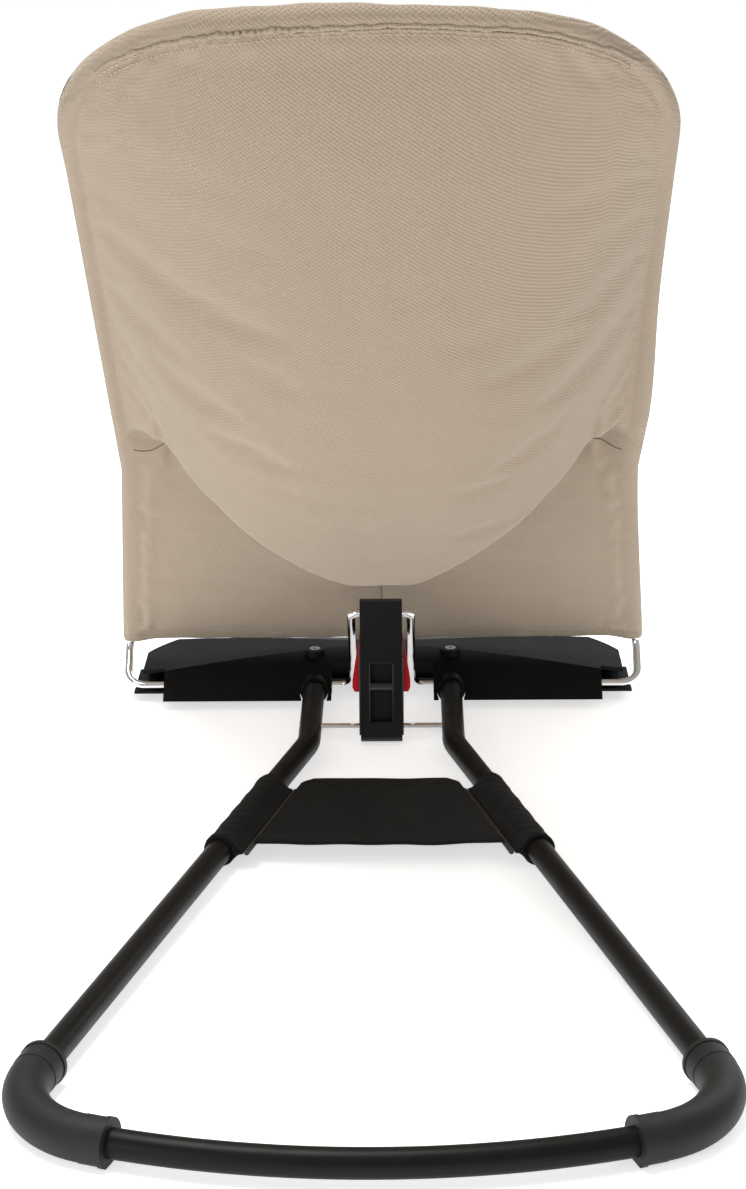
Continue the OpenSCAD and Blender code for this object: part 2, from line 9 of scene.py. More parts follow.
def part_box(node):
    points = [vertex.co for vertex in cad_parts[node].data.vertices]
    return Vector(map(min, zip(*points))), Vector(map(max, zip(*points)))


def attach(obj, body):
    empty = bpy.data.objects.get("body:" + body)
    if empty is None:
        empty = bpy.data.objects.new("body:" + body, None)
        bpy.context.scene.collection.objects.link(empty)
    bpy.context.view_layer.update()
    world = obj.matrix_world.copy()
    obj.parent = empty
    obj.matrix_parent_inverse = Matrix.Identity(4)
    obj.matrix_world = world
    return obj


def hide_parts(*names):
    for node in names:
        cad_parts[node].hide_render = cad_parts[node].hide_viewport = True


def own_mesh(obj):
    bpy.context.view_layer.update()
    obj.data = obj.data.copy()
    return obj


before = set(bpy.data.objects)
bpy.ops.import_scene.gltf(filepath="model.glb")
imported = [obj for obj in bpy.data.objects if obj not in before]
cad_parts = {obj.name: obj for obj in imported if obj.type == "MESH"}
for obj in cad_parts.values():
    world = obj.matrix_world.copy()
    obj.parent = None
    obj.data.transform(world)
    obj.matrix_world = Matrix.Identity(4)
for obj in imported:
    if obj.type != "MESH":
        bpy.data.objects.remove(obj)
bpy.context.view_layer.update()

# ------------------------------------------------------------------ frame numbers, in metres
A = math.radians(45.6)          # pitch of the seat plane
HY, HZ = -0.3055, 0.012         # hinge line
RISER = 0.040                   # seat plane above the hinge runs
LOW, MID, HIGH, LONG, CORNER = 0.191, 0.167, 0.163, 0.710, 0.095
KNEE = 0.250                    # where the hoop's sides turn, along the seat plane
TAPER = math.atan((MID - HIGH) / (LONG - 0.017 - KNEE))
LEAN = math.atan(0.017 / HIGH)  # slope of the top bow towards its middle
BAR_Y, BAR_Z = 0.0893, 0.0115   # crossbar, behind the hinge line and above the floor
LOOP, LOOP_PITCH = 0.112, math.radians(46.7)
TUBE_Z, TUBE_R = 0.0115, 0.008
LEG_X, LEG_Y = 0.051, 0.120     # where a leg starts to splay
LEG_TURN = math.atan2(0.192 - LEG_X, 0.649 - LEG_Y)
WEB_Y0, WEB_Y1 = 0.204, 0.308   # front and rear edge of the web, behind the hinge line
N_DIR = np.array([0.0, -math.sin(A), math.cos(A)])


def seat(x, t, n):
    """Seat-plane coordinates (across, along, up from the hinge plane) to the row frame."""
    x, t, n = np.broadcast_arrays(np.asarray(x, float), np.asarray(t, float), np.asarray(n, float))
    return np.stack([x, HY + t * math.cos(A) - n * math.sin(A), HZ + t * math.sin(A) + n * math.cos(A)], -1)


# ------------------------------------------------------------------ camera
cam_data = bpy.data.cameras.new("camera")
cam = bpy.data.objects.new("camera", cam_data)
bpy.context.collection.objects.link(cam)
bpy.context.scene.camera = cam
cam_data.sensor_fit = "AUTO"
cam_data.sensor_width = 36.0
cam_data.lens = 77.36
PITCH, YAW, ROLL = math.radians(17.878), math.radians(0.83), math.radians(0.6)
look = Vector((math.sin(YAW) * math.cos(PITCH), -math.cos(YAW) * math.cos(PITCH), -math.sin(PITCH)))
turn = look.to_track_quat("-Z", "Y").to_matrix() @ Matrix.Rotation(-ROLL, 3, "Z")
cam.matrix_world = Matrix.Translation((-0.0195, HY + 1.7996, 0.6629)) @ turn.to_4x4()
cam_data.clip_start, cam_data.clip_end = 0.05, 50
bpy.context.scene.view_settings.view_transform = "Standard"


# ------------------------------------------------------------------ material helpers
class Mat:
    def __init__(self, name, color, rough, metal=0.0, spec=0.5):
        self.m = bpy.data.materials.new(name)
        self.m.use_nodes = True
        self.nt = self.m.node_tree
        self.b = self.nt.nodes["Principled BSDF"]
        self.b.inputs["Base Color"].default_value = (*color, 1)
        self.b.inputs["Roughness"].default_value = rough
        self.b.inputs["Metallic"].default_value = metal
        self.b.inputs["Specular IOR Level"].default_value = spec
        self.coord = self.nt.nodes.new("ShaderNodeTexCoord")

    def node(self, kind, **props):
        n = self.nt.nodes.new(kind)
        for k, v in props.items():
            setattr(n, k, v)
        return n

    def link(self, a, b):
        self.nt.links.new(a, b)

    def value(self, socket, v):
        if isinstance(v, (int, float)):
            socket.default_value = v
        else:
            self.link(v, socket)

    def math(self, op, a, b=0.0, c=None, clamp=False):
        n = self.node("ShaderNodeMath", operation=op, use_clamp=clamp)
        self.value(n.inputs[0], a)
        self.value(n.inputs[1], b)
        if c is not None:
            self.value(n.inputs[2], c)
        return n.outputs[0]

    def noise(self, scale, detail=4.0, rough=0.5, source=None, out="Fac"):
        n = self.node("ShaderNodeTexNoise")
        n.inputs["Scale"].default_value = scale
        n.inputs["Detail"].default_value = detail
        n.inputs["Roughness"].default_value = rough
        self.link(source or self.coord.outputs["Object"], n.inputs["Vector"])
        return n.outputs[out]

    def ramp(self, fac, stops):
        n = self.node("ShaderNodeValToRGB")
        self.link(fac, n.inputs[0])
        e = n.color_ramp.elements
        e[0].position, e[0].color = stops[0][0], (*stops[0][1], 1)
        e[1].position, e[1].color = stops[-1][0], (*stops[-1][1], 1)
        for p, c in stops[1:-1]:
            x = e.new(p)
            x.color = (*c, 1)
        return n.outputs[0]

    def span(self, fac, a, b, c, d):
        n = self.node("ShaderNodeMapRange")
        self.link(fac, n.inputs["Value"])
        for k, v in zip(("From Min", "From Max", "To Min", "To Max"), (a, b, c, d)):
            n.inputs[k].default_value = v
        return n.outputs["Result"]

    def bump(self, height, distance, strength=1.0, normal=None):
        n = self.node("ShaderNodeBump")
        n.inputs["Distance"].default_value = distance
        n.inputs["Strength"].default_value = strength
        self.link(height, n.inputs["Height"])
        if normal is not None:
            self.link(normal, n.inputs["Normal"])
        return n.outputs["Normal"]


def knit(name, color, pitch=0.0021, dark=0.84, source="UV"):
    """Fine honeycomb knit: two diagonal sets of ribs with small holes between them."""
    m = Mat(name, color, 0.9, spec=0.25)
    sep = m.node("ShaderNodeSeparateXYZ")
    warp = m.noise(9.0, 2, source=m.coord.outputs[source], out="Color")
    mix = m.node("ShaderNodeVectorMath", operation="MULTIPLY_ADD")
    m.link(warp, mix.inputs[0])
    mix.inputs[1].default_value = (0.006, 0.006, 0.006)
    m.link(m.coord.outputs[source], mix.inputs[2])
    m.link(mix.outputs[0], sep.inputs[0])
    x, y = sep.outputs[0], sep.outputs[1]
    k = 2 * math.pi / pitch
    a = m.math("ADD", m.math("MULTIPLY", x, k * 0.62), m.math("MULTIPLY", y, k * 0.80))
    b = m.math("SUBTRACT", m.math("MULTIPLY", x, k * 0.62), m.math("MULTIPLY", y, k * 0.80))
    sa, sb = m.math("SINE", a), m.math("SINE", b)
    ribs = m.math("ADD", m.math("MULTIPLY", sa, 0.62), m.math("MULTIPLY", sb, 0.38))
    fine = m.math("MULTIPLY", m.math("SINE", m.math("MULTIPLY", x, k * 3.1)), 0.16)
    fuzz = m.math("MULTIPLY", m.noise(2600.0, 2), 0.5)
    h = m.math("ADD", m.math("ADD", ribs, fine), fuzz)
    large = m.noise(14.0, 4)
    tone = m.math("ADD", m.math("MULTIPLY", m.math("SUBTRACT", large, 0.5), 0.35), 0.5)
    shade = m.span(h, -1.0, 1.2, 0.0, 1.0)
    both = m.math("ADD", m.math("MULTIPLY", shade, 0.72), m.math("MULTIPLY", tone, 0.28), clamp=True)
    lowc = tuple(c * dark for c in color)
    highc = tuple(min(1, c * 1.08) for c in color)
    m.link(m.ramp(both, [(0.12, lowc), (0.5, color), (0.92, highc)]), m.b.inputs["Base Color"])
    m.link(m.span(large, 0.3, 0.7, 0.84, 0.97), m.b.inputs["Roughness"])
    m.link(m.bump(h, 0.00030, 0.8), m.b.inputs["Normal"])
    m.b.inputs["Sheen Weight"].default_value = 0.28
    m.b.inputs["Sheen Roughness"].default_value = 0.45
    m.b.inputs["Sheen Tint"].default_value = (1.0, 0.95, 0.88, 1)
    return m.m


def plastic(name, color, rough, grain=0.00006, gscale=1900.0, spec=0.45):
    m = Mat(name, color, rough, spec=spec)
    fine = m.noise(gscale, 3)
    large = m.noise(22.0, 5, 0.6)
    scuff = m.noise(140.0, 6, 0.7)
    tones = [(0.3, tuple(c * 0.85 for c in color)), (0.7, tuple(c * 1.18 for c in color))]
    m.link(m.ramp(large, tones), m.b.inputs["Base Color"])
    patches = m.span(large, 0.3, 0.7, rough - 0.06, rough + 0.06)
    r = m.math("ADD", patches, m.span(scuff, 0.62, 0.8, 0.0, 0.12))
    m.link(r, m.b.inputs["Roughness"])
    m.link(m.bump(fine, grain, 0.7), m.b.inputs["Normal"])
    return m.m


def chrome(name):
    m = Mat(name, (0.86, 0.87, 0.88), 0.07, 1.0)
    large = m.noise(35.0, 4)
    fine = m.noise(900.0, 3)
    haze = m.span(large, 0.35, 0.7, 0.035, 0.10)
    m.link(m.math("ADD", haze, m.span(fine, 0.6, 0.8, 0.0, 0.05)), m.b.inputs["Roughness"])
    m.link(m.ramp(large, [(0.3, (0.80, 0.81, 0.83)), (0.7, (0.90, 0.90, 0.90))]), m.b.inputs["Base Color"])
    m.link(m.bump(large, 0.00003, 0.4), m.b.inputs["Normal"])
    return m.m


def plain_weave(name, color, pitch=0.0011):
    m = Mat(name, color, 0.85, spec=0.18)
    sep = m.node("ShaderNodeSeparateXYZ")
    m.link(m.coord.outputs["UV"], sep.inputs[0])
    k = 2 * math.pi / pitch
    sx = m.math("SINE", m.math("MULTIPLY", sep.outputs[0], k))
    sy = m.math("SINE", m.math("MULTIPLY", sep.outputs[1], k))
    w = m.math("MULTIPLY", sx, sy)
    h = m.math("ADD", w, m.math("MULTIPLY", m.noise(1500.0, 2), 0.5))
    large = m.noise(18.0, 4)
    m.link(m.ramp(m.math("ADD", m.span(h, -1, 1.4, 0, 0.7), m.math("MULTIPLY", large, 0.3)),
                  [(0.15, tuple(c * 0.55 for c in color)), (0.85, tuple(c * 1.5 for c in color))]),
           m.b.inputs["Base Color"])
    m.link(m.span(large, 0.3, 0.7, 0.72, 0.92), m.b.inputs["Roughness"])
    m.link(m.bump(h, 0.00025, 0.9), m.b.inputs["Normal"])
    m.b.inputs["Sheen Weight"].default_value = 0.05
    return m.m


COVER = (0.376, 0.300, 0.222)
mat_cover = knit("cover_fabric", COVER)
mat_binding = knit("cover_binding", tuple(c * 1.04 for c in COVER), pitch=0.0016, dark=0.88, source="Object")
mat_thread = plastic("thread", (0.56, 0.48, 0.385), 0.75, grain=0.00008, gscale=4000.0, spec=0.2)
# seam_shadow: dark brown for thin cords on the cover's seams, painted shadow in the seam lines
mat_seam_shadow = plastic("seam_shadow", (0.20, 0.16, 0.12), 0.9, spec=0.1)
mat_tube = plastic("satin_black_paint", (0.0070, 0.0066, 0.0060), 0.42,
                   grain=0.00002, gscale=1200.0, spec=0.14)
mat_foot = plastic("black_moulding", (0.0055, 0.0056, 0.0058), 0.46, grain=0.00006, spec=0.12)
mat_strut = plastic("catch_moulding", (0.0055, 0.0055, 0.0058), 0.42, grain=0.00005, spec=0.15)
mat_roller = plastic("roller", (0.02, 0.02, 0.021), 0.18, grain=0.00001)
mat_rubber = plastic("foot_rubber", (0.012, 0.0118, 0.0115), 0.58, grain=0.00010, gscale=1400.0, spec=0.32)
mat_chrome = chrome("chrome_wire")
mat_steel = Mat("screw_steel", (0.5, 0.5, 0.5), 0.3, 1.0).m
mat_red = plastic("release_red", (0.42, 0.003, 0.011), 0.34, grain=0.00002, spec=0.18)
mat_web = plain_weave("web_fabric", (0.0072, 0.0068, 0.0060))
mat_piping = plastic("web_piping", (0.035, 0.034, 0.033), 0.5, grain=0.00005)
mat_toggle = plastic("toggle", (0.42, 0.34, 0.25), 0.42)
mat_elastic = knit("elastic_cord", (0.40, 0.325, 0.24), pitch=0.0009, dark=0.6, source="Object")
# strut_edge_highlight: a lighter, glossier black than the strut's moulding, for cords along its edges:
# painted highlight
mat_edge_highlight = plastic("strut_edge_highlight", (0.018, 0.018, 0.019), 0.30, grain=0.00002, spec=0.4)

looks = {
    "left_leg_tube": mat_tube, "right_leg_tube": mat_tube, "rear_bow_tube": mat_tube,
    "left_corner_foot": mat_rubber, "right_corner_foot": mat_rubber, "foot_sole_pad": mat_rubber,
    "crossbar_rod": mat_chrome, "support_loop_wire": mat_chrome, "left_side_wire": mat_chrome,
    "right_side_wire": mat_chrome, "top_bow_wire": mat_chrome,
    "front_foot": mat_foot, "left_leg_socket": mat_foot, "right_leg_socket": mat_foot,
    "left_leg_screw": mat_steel, "right_leg_screw": mat_steel,
    "strut_body": mat_strut, "strut_cap": mat_strut, "strut_roller": mat_roller,
    "left_release_button": mat_red, "right_release_button": mat_red,
    "left_web_piping": mat_piping, "right_web_piping": mat_piping,
}
for name, material in looks.items():
    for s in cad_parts[name].material_slots:
        s.material = material


# ------------------------------------------------------------------ mesh helpers
def new_object(name, verts, faces, material, smooth=True, uvs=None):
    me = bpy.data.meshes.new(name)
    me.from_pydata([tuple(map(float, v)) for v in verts], [], [tuple(map(int, f)) for f in faces])
    me.materials.append(material)
    if uvs is not None:
        layer = me.uv_layers.new(name="UVMap")
        idx = np.zeros(len(me.loops), np.int64)
        me.loops.foreach_get("vertex_index", idx)
        layer.data.foreach_set("uv", np.asarray(uvs, np.float32)[idx].ravel())
    bm = bmesh.new()
    bm.from_mesh(me)
    bmesh.ops.recalc_face_normals(bm, faces=bm.faces)
    bm.to_mesh(me)
    bm.free()
    me.polygons.foreach_set("use_smooth", [smooth] * len(me.polygons))
    me.update()
    o = bpy.data.objects.new(name, me)
    bpy.context.collection.objects.link(o)
    return o


def grid_faces(rows, cols, wrap=False, base=0, flip=False):
    f = []
    for i in range(rows - 1):
        for j in range(cols if wrap else cols - 1):
            a = base + i * cols + j
            b = base + i * cols + (j + 1) % cols
            q = (a, b, b + cols, a + cols)
            f.append(q[::-1] if flip else q)
    return f


def tube(points, radius, sides=10):
    """Vertices and faces of a closed tube along a line."""
    p = np.asarray(points, float)
    n = len(p)
    radius = np.broadcast_to(radius, (n,))
    d = np.gradient(p, axis=0)
    d /= np.linalg.norm(d, axis=1)[:, None]
    up = np.array([0.0, 0.0, 1.0]) if abs(d[0][2]) < 0.9 else np.array([1.0, 0, 0])
    verts = []
    for i in range(n):
        s = np.cross(d[i], up)
        s /= np.linalg.norm(s)
        up = np.cross(s, d[i])
        for k in range(sides):
            w = 2 * math.pi * k / sides
            verts.append(p[i] + radius[i] * (math.cos(w) * s + math.sin(w) * up))
    faces = grid_faces(n, sides, wrap=True)
    faces.append(tuple(range(sides - 1, -1, -1)))
    faces.append(tuple((n - 1) * sides + k for k in range(sides)))
    return verts, faces


def joined(name, parts, material, uvs=None):
    verts, faces = [], []
    for v, f in parts:
        k = len(verts)
        verts.extend(v)
        faces.extend([tuple(i + k for i in q) for q in f])
    return new_object(name, verts, faces, material, uvs=uvs)


def resample(points, step):
    p = np.asarray(points, float)
    s = np.r_[0, np.cumsum(np.linalg.norm(np.diff(p, axis=0), axis=1))]
    n = max(2, int(round(s[-1] / step)) + 1)
    q = np.linspace(0, s[-1], n)
    return np.stack([np.interp(q, s, p[:, k]) for k in range(p.shape[1])], 1)


def stitches(name, line, pitch=0.0032, length=0.0021, radius=0.00034, material=None):
    """Short raised stitches, one after another, along a line of points that lies on the cloth."""
    at = resample(line, pitch)
    parts = []
    for start, step in zip(at[:-1], np.diff(at, axis=0)):
        run = np.linalg.norm(step)
        if run < 1e-6:
            continue
        step = step / run
        middle = start + step * pitch / 2
        pts = [middle + step * length * k for k in (-0.5, -0.3, 0.0, 0.3, 0.5)]
        parts.append(tube(pts, [radius * k for k in (0.35, 0.9, 1.0, 0.9, 0.35)], 6))
    return joined(name, parts, material or mat_thread)


def slab(name, low, high, material, uvs=None):
    """A closed sheet between two grids of points."""
    rows, cols = low.shape[:2]
    n = rows * cols
    faces = grid_faces(rows, cols, flip=True) + grid_faces(rows, cols, base=n)
    k = np.arange(n).reshape(rows, cols)
    rim = np.concatenate([k[0, :-1], k[:-1, -1], k[-1, :0:-1], k[:0:-1, 0]])
    faces += [(a, b, b + n, a + n) for a, b in zip(rim, np.roll(rim, -1))]
    if uvs is not None:
        uvs = np.concatenate([uvs.reshape(-1, 2)] * 2)
    verts = np.concatenate([low.reshape(-1, 3), high.reshape(-1, 3)])
    return new_object(name, verts, faces, material, uvs=uvs)


def arc_uv(points):
    """Lengths along the rows and columns of a grid of points, so that a weave keeps its scale."""
    across = np.linalg.norm(np.diff(points, axis=1), axis=2)
    along = np.linalg.norm(np.diff(points, axis=0), axis=2)
    u = np.concatenate([np.zeros((len(points), 1)), np.cumsum(across, 1)], 1)
    u -= u[:, u.shape[1] // 2][:, None]
    v = np.concatenate([np.zeros((1, points.shape[1])), np.cumsum(along, 0)], 0)
    return np.stack([u, v], -1)


soft_pieces = []


def sew(name, line, *sizes):
    """Stitches that belong to the cover, on the seat body and listed with its soft pieces."""
    add(stitches(name, line, *sizes), "seat", True)


def sew_web(name, line):
    """Stitches on the web and its sleeves."""
    add(stitches(name, line, 0.0030, 0.0020, 0.00028, mat_web_thread), "base")


def add(o, body, squashes=False):
    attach(o, body)
    if squashes:
        soft_pieces.append(o)
    return o


# ------------------------------------------------------------------ hoop outline in the seat plane
def smooth(a, b, v):
    k = np.clip((v - a) / (b - a), 0, 1)
    return k * k * (3 - 2 * k)


def softmin(a, b, k):
    h = np.clip(0.5 + 0.5 * (b - a) / k, 0, 1)
    return b * (1 - h) + a * h - k * h * (1 - h)


TURN = math.pi / 2 - LEAN - TAPER                            # turn of the wire at a top corner
CORNER_T = LONG - 0.017 - CORNER * math.tan(TURN / 2)        # where a top corner starts
WIDE = 0.600                                                 # bend radius in the middle of the top


def side_half(t):
    """Half width of the hoop's straight sides."""
    upper = MID - (MID - HIGH) * (t - KNEE) / (LONG - 0.017 - KNEE)
    return np.where(t < KNEE, LOW - (LOW - MID) * t / KNEE, upper)


def wire_outline():
    """Centreline of the hoop from the left lower end over the top to the right lower end."""
    t = np.linspace(0.0, CORNER_T, 120)
    sides = np.stack([side_half(t), t], 1)
    w = TAPER + np.linspace(0, TURN, 40)[1:]
    bend = np.stack([sides[-1][0] + CORNER * (np.cos(w) - math.cos(TAPER)),
                     CORNER_T + CORNER * (np.sin(w) - math.sin(TAPER))], 1)
    x = np.linspace(bend[-1][0], 0, 40)[1:]
    reach = WIDE * math.tan(LEAN)
    drop = WIDE * (1 / math.cos(LEAN) - 1) * np.clip(1 - x / reach, 0, 1) ** 2
    top = np.stack([x, LONG - x * math.tan(LEAN) - drop], 1)
    half = np.vstack([sides, bend, top])
    return np.vstack([half, (half * [-1, 1])[::-1][1:]])


OUT = resample(wire_outline(), 0.004)
TAN = np.gradient(OUT, axis=0)
TAN /= np.linalg.norm(TAN, axis=1)[:, None]
NRM = np.stack([TAN[:, 1], -TAN[:, 0]], 1)      # points out of the hoop
HEM = 0.004


def rim_radius(x, t):
    """How far the cloth stands off the wire's centreline: fuller over the left half of the top bow
    and beside the hips on the right."""
    top = smooth(0.57, 0.66, t)
    wavy = 0.0003 * np.sin(x * 95) + 0.0002 * np.sin(x * 211 + 1)
    hip = 0.0042 * np.exp(-((t - 0.335) / 0.085) ** 2) * smooth(0.05, -0.05, x)
    return 0.0052 + hip + top * (0.0017 * smooth(-0.05, 0.06, x) + 0.0002 + wavy)


EDGE = OUT + NRM * rim_radius(OUT[:, 0], OUT[:, 1])[:, None]
EDGE = EDGE[EDGE[:, 1] >= HEM]
EDGE = np.vstack([[EDGE[0][0], HEM], EDGE, [EDGE[-1][0], HEM]])


def hoop_half(t):
    t = np.asarray(t, float)
    over = np.clip(t - CORNER_T, 0, CORNER - 0.001)
    return side_half(t) - CORNER + np.sqrt(CORNER ** 2 - over ** 2)


def inside(x, t):
    """Distance inward from the wire's centreline, negative outside."""
    p = np.stack([np.ravel(x), np.ravel(t)], 1)
    out = np.empty(len(p))
    for i in range(0, len(p), 4000):
        q = p[i:i + 4000]
        d = q[:, None, :] - OUT[None]
        j = (d ** 2).sum(2).argmin(1)
        out[i:i + 4000] = -(d[np.arange(len(q)), j] * NRM[j]).sum(1)
    return out.reshape(np.shape(x))


# ------------------------------------------------------------------ shape of the cover
START = 0.129            # where the pouch begins on the middle line
DEPTH = 0.090            # how far the pouch hangs
WING = 0.0195            # how deep the cloth is pulled beside that crease
CREASE = 0.87            # the pouch's side crease at its lower corners, as a share of the half width


def seam_t(u):
    """The seam between the pouch and the lower panel."""
    return START + 0.168 * np.clip((np.abs(u) - 0.12) / 0.73, 0, 1) ** 1.25


def bowl(x, t):
    """How far the pouch hangs below the hoop plane."""
    a = np.abs(np.clip(x / (hoop_half(t) - 0.004), -1, 1))
    g = np.where(t < 0.40, 1 - 0.62 * (np.clip(0.40 - t, 0, 1) / 0.29) ** 2,
                 np.cos(np.pi / 2 * np.clip((t - 0.40) / 0.298, 0, 1)) ** 0.85)
    g = np.maximum(g, 0)
    width = CREASE + (1 - CREASE) * smooth(0.29, 0.50, t)
    p = 3.1 - 1.0 * smooth(0.30, 0.60, t)
    bag = DEPTH * g * np.maximum(1 - (a / width) ** p, 0) ** 0.9
    wing = WING * g * np.minimum((1 - a) / (1 - CREASE), 1)
    d = -softmin(-bag, -wing, 0.006)
    q = t - seam_t(a)
    return np.maximum(softmin(d, 0.86 * q, 0.012), 0) * smooth(0.0, 0.03, q)


def waves(x, t, seed, count, low, high):
    r = np.random.default_rng(seed)
    z = np.zeros_like(x)
    for _ in range(count):
        w = r.uniform(0, math.pi)
        k = 2 * math.pi / r.uniform(low, high)
        z += np.sin(k * (x * math.cos(w) + t * math.sin(w)) + r.uniform(0, 6.28))
    return z / count ** 0.5


def corner_folds(x, t):
    """Small pulls that run out of each lower corner of the pouch."""
    z = np.zeros_like(x)
    for s, tilt in ((1, 0.4), (-1, 1.3)):
        dx, dt = x * s - 0.138, t - 0.290
        r = np.hypot(dx, dt)
        z += np.exp(-(r / 0.045) ** 2) * np.sin(7 * np.arctan2(dt, dx) + tilt) * smooth(0.0, 0.02, r)
    return z


def back_height(x, t, d=None):
    d = inside(x, t) if d is None else d
    r = rim_radius(x, t)
    rim = np.sqrt(np.maximum(r ** 2 - np.minimum(d, 0) ** 2, 0))
    k = smooth(0.002, 0.022, d)
    calm = smooth(0.004, 0.03, d)
    top = smooth(0.60, 0.66, t)
    n = -(rim * (1 - k) + 0.0022 * k) - bowl(x, t)
    n = n + calm * (0.0003 * waves(x, t, 3, 9, 0.07, 0.21) + 0.0002 * waves(x, t, 4, 12, 0.02, 0.05))
    n = n + 0.0011 * calm * corner_folds(x, t)
    # gathers below the top seam, stronger on one side
    band = np.exp(-((d - 0.007) / 0.006) ** 2) * top
    lot = 0.35 + 0.65 * np.exp(-((x - 0.062) / 0.05) ** 2)
    n = n + band * lot * 0.0009 * np.sin(2 * math.pi * (x + 0.5 * t) / 0.0072 + 1.7 * np.sin(x * 60))
    # the groove under the top seam
    n = n + top * 0.0010 * np.exp(-((d - 0.0042) / 0.0014) ** 2)
    # hem roll along the lower edge, and the groove of the centre seam
    n = n - 0.0010 * np.exp(-((t - HEM - 0.004) / 0.004) ** 2)
    n = n + 0.0007 * np.exp(-((t - HEM - 0.0125) / 0.0013) ** 2)
    return n + 0.0011 * np.exp(-(x / 0.0012) ** 2) * smooth(START + 0.01, START - 0.01, t)


def gore(t):
    """Half distance between the two long seams of the front layer."""
    return 0.058 + 0.034 * np.sin(np.pi * np.clip((t - 0.10) / 0.60, 0, 1))


def front_height(x, t, d=None):
    d = inside(x, t) if d is None else d
    r = rim_radius(x, t)
    rim = np.sqrt(np.maximum(r ** 2 - np.minimum(d, 0) ** 2, 0))
    k = smooth(0.002, 0.026, d)
    pad = 0.0042 + 0.0012 * np.cos(2 * math.pi * t / 0.115)
    n = rim * (1 - k) + pad * k - bowl(x, t)
    calm = smooth(0.006, 0.03, d)
    n = n + calm * (0.0004 * waves(x, t, 5, 9, 0.07, 0.2) + 0.0003 * waves(x, t, 6, 10, 0.02, 0.05))
    seam = np.exp(-((np.abs(x) - gore(t)) / 0.0022) ** 2) * smooth(0.11, 0.14, t) * smooth(0.69, 0.66, t)
    return n - calm * 0.0016 * seam - 0.0012 * np.exp(-((d - 0.020) / 0.0020) ** 2)


def coons(nu, ns):
    """Positions in the seat plane of a grid that fills the cover's outline, finer towards its edges."""
    u = np.linspace(0, 1, nu)
    u = 0.45 * u + 0.55 * (0.5 - 0.5 * np.cos(math.pi * u))
    s = np.linspace(0, 1, ns)
    s = 0.6 * (1 - (1 - s) ** 1.25) + 0.4 * s
    arc = np.r_[0, np.cumsum(np.linalg.norm(np.diff(EDGE, axis=0), axis=1))]
    corner = 0.655
    a0 = arc[int(np.argmax(EDGE[:, 1] > corner))]
    a1 = arc[len(EDGE) - 1 - int(np.argmax(EDGE[::-1, 1] > corner))]

    def at(q):
        return np.stack([np.interp(q, arc, EDGE[:, 0]), np.interp(q, arc, EDGE[:, 1])], -1)
    left, right = at(a0 * s), at(arc[-1] - (arc[-1] - a1) * s)
    top = at(a0 + (a1 - a0) * u)
    b0, b1 = EDGE[0], EDGE[-1]
    bottom = b0 + (b1 - b0) * u[:, None]
    U, S = u[None, :, None], s[:, None, None]
    p = (1 - S) * bottom[None] + S * top[None] + (1 - U) * left[:, None] + U * right[:, None]
    p -= (1 - U) * (1 - S) * b0 + U * (1 - S) * b1 + (1 - U) * S * top[0] + U * S * top[-1]
    return p[..., 0], p[..., 1]


# ------------------------------------------------------------------ the cover
class Layers:
    """Both layers of the cover on one grid, with a shared rim along the wire and an open-ended hem."""

    def __init__(self, nu, ns):
        self.x, self.t = coons(nu, ns)
        self.d = inside(self.x, self.t)
        edge = np.zeros_like(self.x, bool)
        edge[:, 0] = edge[:, -1] = edge[-1, :] = True
        self.edge = edge
        back_n = np.where(edge, 0.0, back_height(self.x, self.t, self.d))
        front_n = np.where(edge, 0.0, front_height(self.x, self.t, self.d))
        self.back = seat(self.x, self.t, RISER + back_n)
        self.front = seat(self.x, self.t, RISER + front_n)

    def mesh(self):
        rows, cols = self.edge.shape
        n = rows * cols
        index = np.arange(n).reshape(rows, cols)
        inner = np.flatnonzero(~self.edge.ravel())
        other = index.copy()
        other[~self.edge] = n + np.arange(len(inner))
        verts = np.vstack([self.back.reshape(-1, 3), self.front.reshape(-1, 3)[inner]])
        faces = []
        for i in range(rows - 1):
            for j in range(cols - 1):
                faces.append((index[i, j], index[i, j + 1], index[i + 1, j + 1], index[i + 1, j]))
                faces.append((other[i, j], other[i + 1, j], other[i + 1, j + 1], other[i, j + 1]))
        for j in range(cols - 1):
            q = dict.fromkeys(int(k) for k in (index[0, j], other[0, j], other[0, j + 1], index[0, j + 1]))
            if len(q) > 2:
                faces.append(tuple(q))
        uv = np.vstack([arc_uv(self.back).reshape(-1, 2), arc_uv(self.front).reshape(-1, 2)[inner]])
        return verts, faces, uv, inner


def held_share(layers):
    """1 where the cloth is sewn to something, down to 0 where it can move."""
    u = layers.x / (hoop_half(layers.t) - 0.004)
    rim = smooth(0.016, 0.002, layers.d)
    pouch = np.exp(-((layers.t - seam_t(u)) / 0.006) ** 2)
    middle = np.exp(-(layers.x / 0.004) ** 2) * smooth(START + 0.01, START - 0.01, layers.t)
    hem = np.exp(-((layers.t - HEM) / 0.012) ** 2)
    gores = np.exp(-((np.abs(layers.x) - gore(layers.t)) / 0.004) ** 2)
    sewn = np.clip(np.maximum.reduce([rim, pouch, middle, hem]), 0, 1)
    return sewn, np.clip(np.maximum(sewn, gores), 0, 1)


CLOTH_GRID = (57, 73)
FRAMES = 18
CAP = 0.003


